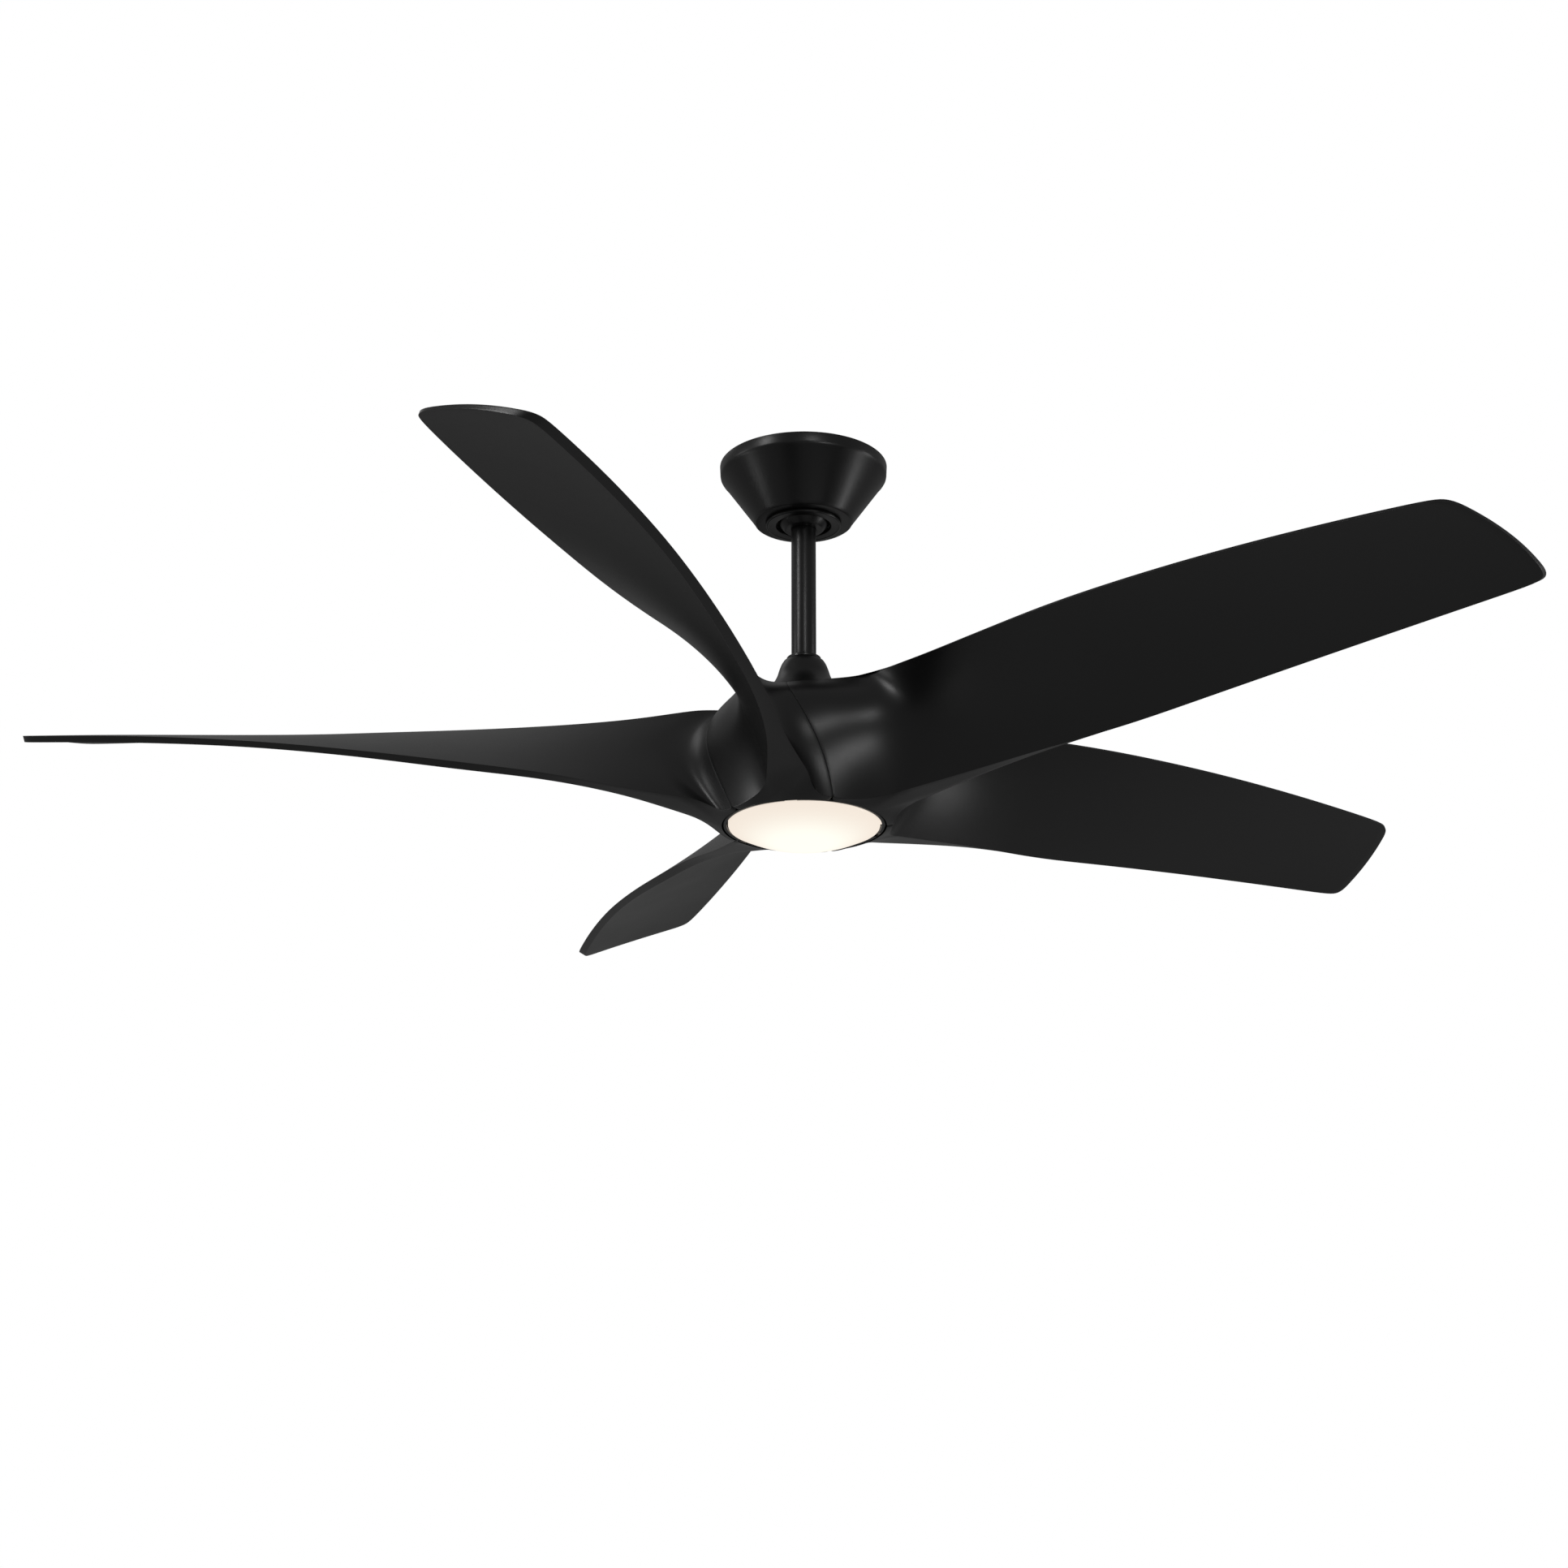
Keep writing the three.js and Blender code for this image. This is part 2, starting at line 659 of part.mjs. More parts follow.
// Light: a fixed plate on the shaft's end carries the boards and a bayonet ring; the opal
// lens twists out of the ring.
function addLight() {
  const plateLow = 12;
  piece("light_plate", ring(6.3, 66, plateLow, plateLow + 2), aluminium);
  const driverLoop = [
    [9, plateLow + 2.3],
    [12, plateLow + 2.3],
    [12, 19],
    [44, 19],
    [44, 20.6],
    [9, 20.6],
  ];
  piece("driver_board", turned(driverLoop, 28), circuit);
  piece("led_board", ring(14, 52, 10.2, plateLow - GAP, 32), whiteBoard);
  const hex = new THREE.Shape();
  for (let i = 0; i < 6; i++) {
    const angle = (i * Math.PI) / 3;
    hex[i ? "lineTo" : "moveTo"](10 * Math.cos(angle), 10 * Math.sin(angle));
  }
  hex.closePath();
  hex.holes.push(new THREE.Path().absarc(0, 0, 6.3, 0, 2 * Math.PI, true));
  const nut = new THREE.ExtrudeGeometry(hex, { depth: 4.5, bevelEnabled: false, curveSegments: 9 });
  piece("shaft_nut", nut.translate(0, 0, 7.2), zinc);

  const grooveR = 67.3;
  const lugR = 66.4;
  const ringLoop = [
    [65.4, 0.3],
    [67.6, 0],
    [LIGHT_R, 0.8],
    [LIGHT_R, plateLow - GAP],
    [54, plateLow - GAP],
    [54, 9.6],
    [grooveR, 9.6],
    [grooveR, 2.8],
    [65.4, 2.8],
  ];
  const lugCount = 3;
  const twistDeg = 20;
  const entries = [];
  const screws = [];
  for (let i = 0; i < lugCount; i++) {
    const degrees = (360 / lugCount) * i;
    entries.push(box(3.1, 10.5, 5, 65.75, 0, 1.5).rotateZ(rad(degrees + twistDeg)));
    screws.push(onHub(60, degrees + 60, plateLow - GAP));
  }
  const screwHoles = screws.map(({ x, y }) => rodBetween(1.8, [x, y, 9], [x, y, 13], 8));
  piece("lens_ring", shaped(turned(ringLoop, 28), [], [...entries, ...screwHoles]), blackMetal);
  screws.forEach(({ x, y }, i) => {
    piece(`lens_ring_screw_${i + 1}`, screw(x, y, 9.6 - GAP, 2.2, 1.5, 2.8, 1.4), zinc);
  });

  const domeR = (LENS_R * LENS_R + LENS_SAG * LENS_SAG) / (2 * LENS_SAG);
  const dome = [[LENS_R, 7.6], [LENS_R, 1], [LENS_R - 0.5, -0.6]];
  const edgeAngle = Math.asin((LENS_R - 1.5) / domeR);
  const steps = 4;
  for (let i = 0; i <= steps; i++) {
    const angle = edgeAngle * (1 - i / steps);
    dome.push([domeR * Math.sin(angle), domeR * (1 - Math.cos(angle)) - LENS_SAG]);
  }
  const lugs = [];
  for (let i = 0; i < lugCount; i++) {
    const lug = box(3, 9, 3.2, lugR - 1.5, 0, 5);
    lugs.push(lug.rotateZ(rad((360 / lugCount) * i)));
  }
  piece("lens", shaped(turned(sheetLoop(dome, 2), 28), lugs), opal);
}

// The motor and light leads, which run down inside the rod and the hollow shaft.
function addHarness() {
  const wireR = 1.9;
  const beside = 6.2; // clear of the pins that cross the rod
  const route = curveOf([
    [0, beside, DROP - 30],
    [0, beside, DROP - 90],
    [0, beside, 200],
    [0, beside, 150],
    [0, beside, 129],
    [0, 4, 121.5],
    [0, 0.7, 116.6],
    [0, 0, 111],
    [0, 0, 60],
    [0, 0, 8],
  ]);
  const section = new THREE.Shape().absarc(0, 0, wireR, 0, 2 * Math.PI);
  const wire = new THREE.ExtrudeGeometry(section, {
    steps: 16,
    curveSegments: 6,
    extrudePath: route,
    bevelEnabled: false,
  });
  piece("wire_harness", wire, rubber);
}

addHanger();
addCanopy();
addDownrod();
addCoupling();
addMotor();
addBlades();
addLight();
addHarness();

export default fixture;
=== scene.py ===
# Five-blade ceiling fan with a light: the visible surfaces and finishes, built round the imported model.
import math

import bmesh
import bpy
from mathutils import Matrix, Vector


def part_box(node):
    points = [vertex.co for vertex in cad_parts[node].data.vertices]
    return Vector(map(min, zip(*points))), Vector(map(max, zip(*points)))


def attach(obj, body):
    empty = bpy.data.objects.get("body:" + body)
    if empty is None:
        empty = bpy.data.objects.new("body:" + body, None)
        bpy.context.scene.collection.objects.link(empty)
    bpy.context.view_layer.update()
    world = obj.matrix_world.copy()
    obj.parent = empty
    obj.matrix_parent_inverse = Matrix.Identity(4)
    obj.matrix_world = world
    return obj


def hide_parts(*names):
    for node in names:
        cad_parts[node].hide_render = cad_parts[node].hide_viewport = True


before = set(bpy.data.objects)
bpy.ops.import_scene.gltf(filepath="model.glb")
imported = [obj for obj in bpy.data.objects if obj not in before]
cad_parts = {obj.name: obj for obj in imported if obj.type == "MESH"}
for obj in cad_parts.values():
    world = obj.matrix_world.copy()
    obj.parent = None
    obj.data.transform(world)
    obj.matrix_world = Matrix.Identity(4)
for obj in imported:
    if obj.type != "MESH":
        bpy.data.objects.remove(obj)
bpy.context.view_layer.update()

# Camera: well below the fan and in front of it, looking up at the hub. The lens is a
# long one, so the near and far blades differ little in scale.
camera_place = Vector((-0.017, -2.493, -1.1785))
camera_rise = math.radians(19.53)
camera_data = bpy.data.cameras.new("camera")
camera_data.lens = 71.93
camera_data.sensor_width = 36
camera = bpy.data.objects.new("camera", camera_data)
camera.location = camera_place
camera.rotation_euler = (math.pi / 2 + camera_rise, 0, 0)
bpy.context.collection.objects.link(camera)
bpy.context.scene.camera = camera
bpy.context.scene.view_settings.view_transform = "Standard"


# Studio: a white backdrop all round that only the camera sees. The fan's black finish
# mirrors the dim room and the softboxes instead. There is no floor to hide it from below.
def shader_of(material):
    material.use_nodes = True
    return material.node_tree.nodes["Principled BSDF"]


backdrop_radius = 14
white = bpy.data.materials.new("white_backdrop")
white_shader = shader_of(white)
white_shader.inputs["Base Color"].default_value = (0, 0, 0, 1)
white_shader.inputs["Specular IOR Level"].default_value = 0
white_shader.inputs["Emission Color"].default_value = (1, 1, 1, 1)
white_shader.inputs["Emission Strength"].default_value = 1
bpy.ops.object.select_all(action="DESELECT")
bpy.ops.mesh.primitive_uv_sphere_add(segments=48, ring_count=24, radius=backdrop_radius)
backdrop = bpy.context.object
backdrop.name = "studio_backdrop"
bpy.ops.object.shade_smooth()
backdrop.data.materials.append(white)
backdrop.visible_diffuse = False
backdrop.visible_glossy = False
backdrop.visible_transmission = False
backdrop.visible_shadow = False

# Dim room: the world is darkest at the horizon and paler towards the floor and ceiling.
# It gives the black finish its even tone between the softboxes.
floor_tone = 0.22
horizon_tone = 0.17
ceiling_tone = 0.24
room = bpy.data.worlds.new("dim_room")
bpy.context.scene.world = room
room.use_nodes = True
nodes = room.node_tree.nodes
link = room.node_tree.links.new
direction = nodes.new("ShaderNodeTexCoord")
height = nodes.new("ShaderNodeSeparateXYZ")
link(direction.outputs["Generated"], height.inputs["Vector"])
rise = nodes.new("ShaderNodeMapRange")
rise.inputs["From Min"].default_value = -1
link(height.outputs["Z"], rise.inputs["Value"])
room_tone = nodes.new("ShaderNodeValToRGB")
room_tone.color_ramp.elements[0].color = (floor_tone, floor_tone, floor_tone, 1)
room_tone.color_ramp.elements[1].color = (ceiling_tone, ceiling_tone, ceiling_tone, 1)
horizon = room_tone.color_ramp.elements.new(0.5)
horizon.color = (horizon_tone, horizon_tone, horizon_tone, 1)
link(rise.outputs["Result"], room_tone.inputs["Fac"])
link(room_tone.outputs["Color"], nodes["Background"].inputs["Color"])

# Softboxes: seven area lamps round the hub. Each gives one highlight on the blades, the
# hub or the rod, and none of them is seen by the camera.
hub_centre = Vector((0, 0, -0.27))
lamp_distance = 3.0


def softbox(name, side_deg, rise_deg, width, height, power):
    """An area light that faces the hub, at an angle round from the camera's side and above the horizon."""
    data = bpy.data.lights.new(name, "AREA")
    data.shape = "RECTANGLE"
    data.size = width
    data.size_y = height
    data.energy = power
    lamp = bpy.data.objects.new(name, data)
    side = math.radians(side_deg)
    rise = math.radians(rise_deg)
    out = Vector((math.sin(side) * math.cos(rise), -math.cos(side) * math.cos(rise), math.sin(rise)))
    lamp.location = hub_centre + out * lamp_distance
    lamp.rotation_euler = out.to_track_quat("Z", "Y").to_euler()
    lamp.visible_camera = False
    bpy.context.collection.objects.link(lamp)


softbox("softbox_front_right", 28, -9, 0.5, 0.6, 7)
softbox("softbox_front_high", 12, 20, 0.35, 0.5, 6)
softbox("softbox_left_high", -52, 25, 0.4, 0.9, 13)
softbox("softbox_left", -92, -24, 0.7, 0.9, 9)
softbox("strip_right", 92, -8, 0.5, 2.8, 15)
softbox("softbox_far_left", -86, 11, 0.9, 0.8, 5)
softbox("softbox_back_left", -127, 44, 1.2, 1.2, 2.5)

# Hanger bracket: pressed zinc-plated steel, held by two screws in the ceiling box. The
# ball's moulded nylon seat lies in its socket. The motor's yoke has the same plating, and
# the screws are bright zinc.
MM = 0.001


def finish(name, colour, roughness, metallic=0.0, mottle=0.12, blotch=18, grain=900, relief=0.03,
           gloss_spread=0.08, stretch=(1, 1, 1)):
    """A colour with soft blotches in its tone and gloss and a fine grain in its relief, in object space."""
    noise_low = 0.3
    noise_high = 0.7
    bump_depth = 0.2 * MM
    blotch_detail = 3
    grain_detail = 2
    material = bpy.data.materials.new(name)
    shader = shader_of(material)
    shader.inputs["Metallic"].default_value = metallic
    nodes = material.node_tree.nodes
    link = material.node_tree.links.new
    place = nodes.new("ShaderNodeTexCoord")
    scale = nodes.new("ShaderNodeMapping")
    scale.inputs["Scale"].default_value = stretch
    link(place.outputs["Object"], scale.inputs["Vector"])

    def noise(frequency, detail):
        texture = nodes.new("ShaderNodeTexNoise")
        texture.inputs["Scale"].default_value = frequency
        texture.inputs["Detail"].default_value = detail
        link(scale.outputs["Vector"], texture.inputs["Vector"])
        return texture.outputs["Fac"]

    def spread(source, low, high):
        levels = nodes.new("ShaderNodeMapRange")
        levels.inputs["From Min"].default_value = noise_low
        levels.inputs["From Max"].default_value = noise_high
        levels.inputs["To Min"].default_value = low
        levels.inputs["To Max"].default_value = high
        link(source, levels.inputs["Value"])
        return levels.outputs["Result"]

    soft = noise(blotch, blotch_detail)
    fine = noise(grain, grain_detail)
    tone = nodes.new("ShaderNodeMix")
    tone.data_type = "RGBA"
    tone.inputs["A"].default_value = (*[c * (1 - mottle) for c in colour], 1)
    tone.inputs["B"].default_value = (*[min(1, c * (1 + mottle)) for c in colour], 1)
    link(spread(soft, 0, 1), tone.inputs["Factor"])
    link(tone.outputs["Result"], shader.inputs["Base Color"])
    both = nodes.new("ShaderNodeMath")
    both.operation = "ADD"
    link(spread(soft, roughness - gloss_spread / 2, roughness + gloss_spread / 2), both.inputs[0])
    link(spread(fine, -gloss_spread / 2, gloss_spread / 2), both.inputs[1])
    link(both.outputs["Value"], shader.inputs["Roughness"])
    bump = nodes.new("ShaderNodeBump")
    bump.inputs["Strength"].default_value = relief
    bump.inputs["Distance"].default_value = bump_depth
    link(fine, bump.inputs["Height"])
    link(bump.outputs["Normal"], shader.inputs["Normal"])
    return material


def coat(material, *names):
    """Gives CAD nodes a finish in every slot of theirs."""
    for name in names:
        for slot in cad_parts[name].material_slots:
            slot.material = material


zinc_plate = finish("zinc_plate", (0.52, 0.53, 0.55), 0.34, metallic=1, mottle=0.2, blotch=60, grain=500)
bright_zinc = finish("bright_zinc", (0.6, 0.61, 0.63), 0.28, metallic=1, mottle=0.1, blotch=200, grain=1500)
moulded_nylon = finish("moulded_nylon", (0.66, 0.63, 0.55), 0.5, mottle=0.06, blotch=80, grain=1200)
coat(zinc_plate, "hanger_bracket", "motor_yoke")
coat(bright_zinc, "ceiling_screw_1", "ceiling_screw_2", "ground_screw", "canopy_screw_1", "canopy_screw_2")
coat(moulded_nylon, "ball_seat_pad")

# Receiver: the remote control's box of black moulded plastic. It lies between the
# bracket's legs, above the ball.
def whole(obj):
    """Puts an object's place into its mesh."""
    bpy.ops.object.select_all(action="DESELECT")
    obj.select_set(True)
    bpy.context.view_layer.objects.active = obj
    bpy.ops.object.transform_apply(location=True, rotation=True, scale=True)


def modified(obj, kind, **settings):
    """Adds a modifier and applies it."""
    modifier = obj.modifiers.new(kind.lower(), kind)
    for key, value in settings.items():
        setattr(modifier, key, value)
    bpy.ops.object.select_all(action="DESELECT")
    obj.select_set(True)
    bpy.context.view_layer.objects.active = obj
    bpy.ops.object.modifier_apply(modifier=modifier.name)


def smoothed(obj):
    """Shades a piece smooth, but for its sharp corners."""
    sharp_deg = 35
    bpy.ops.object.select_all(action="DESELECT")
    obj.select_set(True)
    bpy.context.view_layer.objects.active = obj
    bpy.ops.object.shade_smooth_by_angle(angle=math.radians(sharp_deg))


def edged(obj, width):
    """Rounds every corner of a piece, and shades it smooth; the width is in millimetres."""
    corner_deg = 28
    modified(obj, "BEVEL", width=width * MM, segments=3, limit_method="ANGLE",
             angle_limit=math.radians(corner_deg), use_clamp_overlap=True)
    smoothed(obj)


def block(size, place, turn_deg=0):
    """A box of a size and at a place in metres, turned about the fan's axis."""
    bpy.ops.object.select_all(action="DESELECT")
    bpy.ops.mesh.primitive_cube_add(size=1, location=place, scale=size)
    obj = bpy.context.object
    whole(obj)
    obj.rotation_euler.z = math.radians(turn_deg)
    whole(obj)
    return obj


def fitted(obj, material, body, slot, *nodes):
    """Gives a finished piece its material and its moving body, and hides the CAD nodes it stands for; slot
    is not used.
    """
    obj.data.materials.append(material)
    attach(obj, body)
    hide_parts(*nodes)


black_plastic = finish("black_plastic", (0.004, 0.004, 0.0042), 0.33, mottle=0.12, blotch=9, grain=1400,
                       relief=0.04, gloss_spread=0.06)
low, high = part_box("receiver_box")
receiver = block(high - low, (low + high) / 2)
receiver.name = "receiver_case"
case_corner = 1.2
edged(receiver, case_corner)
fitted(receiver, black_plastic, "ceiling_mount", "black_plastic", "receiver_box")

# Canopy: a spun steel cup, powder coated satin black, with a straight band at the ceiling
# and a straight cone below it. Two screws through its floor hold it to the bracket.
def drawn_ring(name, profile, sides, base):
    """A circle drawn through each (radius, height) of a profile in millimetres above the base, in metres."""
    bpy.ops.object.select_all(action="DESELECT")
    (radius, height), *rest = profile
    bpy.ops.mesh.primitive_circle_add(
        vertices=sides, radius=radius * MM, location=(0, 0, base + height * MM)
    )
    obj = bpy.context.object
    obj.name = name
    whole(obj)
    bpy.ops.object.mode_set(mode="EDIT")
    bpy.ops.mesh.select_all(action="SELECT")
    for next_radius, next_height in rest:
        step = (0, 0, (next_height - height) * MM)
        share = next_radius / radius
        bpy.ops.mesh.extrude_edges_move(TRANSFORM_OT_translate={"value": step})
        bpy.ops.transform.resize(value=(share, share, 1), center_override=(0, 0, base + next_height * MM))
        radius = next_radius
        height = next_height
    bpy.ops.mesh.select_all(action="SELECT")
    bpy.ops.mesh.remove_doubles(threshold=0.001 * MM)
    bpy.ops.mesh.normals_make_consistent(inside=False)
    bpy.ops.object.mode_set(mode="OBJECT")
    return obj


def combined(obj, other, operation):
    """Adds another solid to a piece, or cuts it away, and removes the other."""
    modified(obj, "BOOLEAN", operation=operation, solver="EXACT", object=other)
    bpy.data.objects.remove(other)


def drilled(obj, radius, start, end):
    """Cuts a round hole between two points, radius and points in metres."""
    along_hole = Vector(end) - Vector(start)
    bpy.ops.object.select_all(action="DESELECT")
    bpy.ops.mesh.primitive_cylinder_add(
        vertices=24, radius=radius, depth=along_hole.length, location=(Vector(start) + Vector(end)) / 2,
        rotation=along_hole.to_track_quat("Z", "Y").to_euler(),
    )
    drill = bpy.context.object
    whole(drill)
    combined(obj, drill, "DIFFERENCE")


black_coat = finish("black_powder_coat", (0.004, 0.004, 0.0042), 0.33, mottle=0.1, blotch=14, grain=1100,
                    relief=0.06, gloss_spread=0.05)
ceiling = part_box("hanger_bracket")[1].z
canopy_low, canopy_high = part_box("canopy")
canopy_r = canopy_high.x / MM
canopy_floor = canopy_low.z / MM
sheet = 1.5
canopy_profile = [
    (24.6, canopy_floor),
    (41.2, canopy_floor),
    (42.5, canopy_floor + 0.9),
    (43.6, canopy_floor + 3.0),
    (70.3, -12.5),
    (71.6, -11.2),
    (72.4, -9.8),
    (72.6, -8.6),
    (canopy_r, -0.6),
]
canopy = drawn_ring("canopy_cup", canopy_profile, 128, ceiling)
modified(canopy, "SOLIDIFY", thickness=sheet * MM, offset=-1)
screw_hole_r = 1.9 * MM
floor_z = canopy_floor * MM
hole_start_z = floor_z - 2 * MM
hole_end_z = floor_z + 4 * MM
for node in ("canopy_screw_1", "canopy_screw_2"):
    screw_low, screw_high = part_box(node)
    middle = (screw_low + screw_high) / 2
    drilled(canopy, screw_hole_r, (middle.x, middle.y, hole_start_z), (middle.x, middle.y, hole_end_z))
edged(canopy, 0.35)
fitted(canopy, black_coat, "ceiling_mount", "black_painted_metal", "canopy")

# Trim ring: pressed steel in the same black coat, with a rolled outer lip. It snaps on
# under the canopy's floor and hides the canopy's screws.
ring_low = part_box("canopy_ring")[0].z / MM
ring_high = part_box("canopy_ring")[1].z / MM
trim_profile = [
    (24.1, ring_high),
    (24.1, ring_low + 0.5),
    (30.5, ring_low + 0.5),
    (31.1, ring_low),
    (32.2, ring_low + 0.2),
    (32.7, ring_low + 0.9),
    (32.7, ring_high),
    (31.9, ring_high),
    (31.9, ring_low + 1.3),
    (24.9, ring_low + 1.3),
    (24.9, ring_high),
    (24.1, ring_high),
]
trim = drawn_ring("canopy_trim", trim_profile, 96, ceiling)
edged(trim, 0.25)
fitted(trim, black_coat, "ceiling_mount", "black_painted_metal", "canopy_ring")

# Hanger ball: a cast ball in satin black, cut flat at both ends, that lets the fan hang
# plumb. A cross pin and a set screw hold it to the top of the rod.
ball_low, ball_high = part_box("hanger_ball")
ball_r = ball_high.x / MM
ball_z = -41.5
bore_r = 10.95
ball_steps = 20
low_angle = math.asin((ball_low.z / MM - ball_z) / ball_r)
high_angle = math.asin((ball_high.z / MM - ball_z) / ball_r)
ball_profile = [(bore_r, ball_low.z / MM)]
for i in range(ball_steps + 1):
    angle = low_angle + (high_angle - low_angle) * i / ball_steps
    ball_profile.append((ball_r * math.cos(angle), ball_z + ball_r * math.sin(angle)))
ball_profile.append((bore_r, ball_high.z / MM))
ball_profile.append((bore_r, ball_low.z / MM))
ball = drawn_ring("hanger_ball_cast", ball_profile, 72, ceiling)
pin_hole_r = 3.3 * MM
pin_end_room = 0.3 * MM
set_hole_r = 2.3 * MM
pin_low, pin_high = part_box("ball_pin")
pin_z = (pin_low.z + pin_high.z) / 2
drilled(ball, pin_hole_r, (pin_low.x - pin_end_room, 0, pin_z), (pin_high.x + pin_end_room, 0, pin_z))
set_low, set_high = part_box("ball_set_screw")
set_z = (set_low.z + set_high.z) / 2
drilled(ball, set_hole_r, (0, 0, set_z), (0, ball_r * MM, set_z))
edged(ball, 0.4)
fitted(ball, black_coat, "suspension", "black_painted_metal", "hanger_ball")
coat(bright_zinc, "ball_pin", "ball_set_screw")

# Downrod: half-inch steel pipe in the same satin black coat. It is drilled through at both
# ends, for the ball's pin and the yoke's.
rod_low, rod_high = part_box("downrod")
rod_r = 10.65
rod_bore_r = 9.0
rod_profile = [
    (rod_bore_r, rod_high.z / MM),
    (rod_r, rod_high.z / MM),
    (rod_r, rod_low.z / MM),
    (rod_bore_r, rod_low.z / MM),
    (rod_bore_r, rod_high.z / MM),
]
rod = drawn_ring("downrod_pipe", rod_profile, 64, ceiling)
yoke_low, yoke_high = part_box("yoke_pin")
rod_drill_reach = 12 * MM
for hole_z in (pin_z, (yoke_low.z + yoke_high.z) / 2):
    drilled(rod, pin_hole_r, (-rod_drill_reach, 0, hole_z), (rod_drill_reach, 0, hole_z))
edged(rod, 0.4)
fitted(rod, black_coat, "suspension", "black_painted_metal", "downrod")

# Coupling cover: a small spun steel bell in the same black coat, with a rolled collar
# round the rod. It slides down the rod over the yoke, its cross pin and set screws.
def rounded(profile, steps=5):
    """The profile with more points, on a smooth curve through it."""
    points = [profile[0], *profile, profile[-1]]
    found = [profile[0]]
    for a, b, c, d in zip(points, points[1:], points[2:], points[3:]):
        for i in range(1, steps + 1):
            t = i / steps
            found.append(tuple(
                0.5 * (2 * q + (r - p) * t + (2 * p - 5 * q + 4 * r - s) * t * t
                       + (3 * q - p - 3 * r + s) * t ** 3)
                for p, q, r, s in zip(a, b, c, d)
            ))
    return found


lens_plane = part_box("lens_ring")[0].z
cover_collar = [(12.5, 152.3), (13.9, 152.3), (14.7, 151.6), (14.7, 149.9), (13.9, 149.2), (14.3, 148.8)]
cover_bell = rounded([
    (17.4, 148.0),
    (19.4, 144.6),
    (21.2, 139.8),
    (23.4, 133.0),
    (27.4, 126.0),
    (33.4, 118.4),
    (33.6, 117.2),
])
cover = drawn_ring("coupling_bell", cover_collar + cover_bell, 96, lens_plane)
modified(cover, "SOLIDIFY", thickness=sheet * MM, offset=-1)
edged(cover, 0.3)
fitted(cover, black_coat, "suspension", "black_painted_metal", "coupling_cover")
coat(bright_zinc, "yoke_pin", "yoke_clip", "yoke_set_screw_1", "yoke_set_screw_2")

# Motor: a wound stator on a hollow steel shaft that hangs from the yoke. The cast aluminium
# rotor with its ferrite magnets turns round it on two bearings, and takes the blades' screws.
ground_steel = finish("ground_steel", (0.4, 0.41, 0.42), 0.32, metallic=1, grain=700, stretch=(1, 1, 6))
copper_wire = finish("enamelled_copper", (0.62, 0.27, 0.12), 0.3, metallic=1, grain=350, relief=0.25)
ferrite = finish("sintered_ferrite", (0.05, 0.05, 0.054), 0.6, metallic=0.2, grain=900, relief=0.1)
cast_aluminium = finish("cast_aluminium", (0.66, 0.67, 0.68), 0.42, metallic=1, grain=450, relief=0.15)
coat(ground_steel, "stator_shaft", "stator_core", "upper_bearing_inner", "lower_bearing_inner",
     "upper_bearing_outer", "lower_bearing_outer")
coat(copper_wire, "winding_upper", "winding_lower")
coat(ferrite, "magnet_ring")
coat(cast_aluminium, "rotor_cup", "rotor_cover", "light_plate")
coat(bright_zinc, *[f"blade_screw_{k}" for k in range(1, 11)])


# Blades: five satin black plastic mouldings, each in one with its fifth of the hub. The thin
# upper edge leads, and the trailing edge has a chamfer that runs into the hub's foot. A tab
# inside each root takes two screws into the rotor.
def along(points, t):
    """A point on a smooth curve through the points, t from 0 at the first to 1 at the last."""
    spans = len(points) - 1
    i = min(int(t * spans), spans - 1)
    share = t * spans - i
    start = points[i]
    end = points[i + 1]
    before = points[i - 1] if i > 0 else start * 2 - end
    after = points[i + 2] if i + 2 <= spans else end * 2 - start
    first = (start - before).length ** 0.5
    middle = (end - start).length ** 0.5
    last = (after - end).length ** 0.5
    leave = (start - before) / first - (end - before) / (first + middle) + (end - start) / middle
    arrive = (end - start) / middle - (after - start) / (middle + last) + (after - end) / last
    leave *= middle
    arrive *= middle
    square = (end - start) * 3 - leave * 2 - arrive
    cube = (start - end) * 2 + leave + arrive
    return start + leave * share + square * share ** 2 + cube * share ** 3


leading_edge = [Vector(p) for p in (
    (100, -21, 111), (150, -32, 108.5), (210, -43, 108), (290, -54, 109),
    (380, -59, 109.3), (470, -60, 108), (570, -57, 105), (670, -50, 101),
)]
trailing_edge = [Vector(p) for p in (
    (100, 37.5, 14.4), (150, 40, 22.7), (210, 48, 33), (290, 57, 42),
    (380, 63, 52), (470, 65, 60.5), (570, 62, 67), (670, 55.5, 70.5),
)]
crease = [Vector(p) for p in (
    (100, 4, 11), (150, 23.5, 21.5), (210, 38, 30.5), (290, 49.5, 38),
    (380, 56.5, 48.5), (470, 59, 57), (570, 56, 63.2), (670, 49, 67.3),
)]
hub_profile = [Vector(p) for p in (
    (74.2, 0, 0.8), (80.5, 0, 20), (85.5, 0, 40), (87.5, 0, 60), (84.5, 0, 80), (77, 0, 96), (58, 0, 108.5),
)]
blade_count = 5
first_blade_deg = -38.4
pitch_deg = 360 / blade_count
edge_thickness = 2.4
blade_camber = 2.5
edge_end_x = leading_edge[-1].x
edge_rate = (len(leading_edge) - 1) * (edge_end_x - leading_edge[-2].x)
seam_gap_deg = 0.13


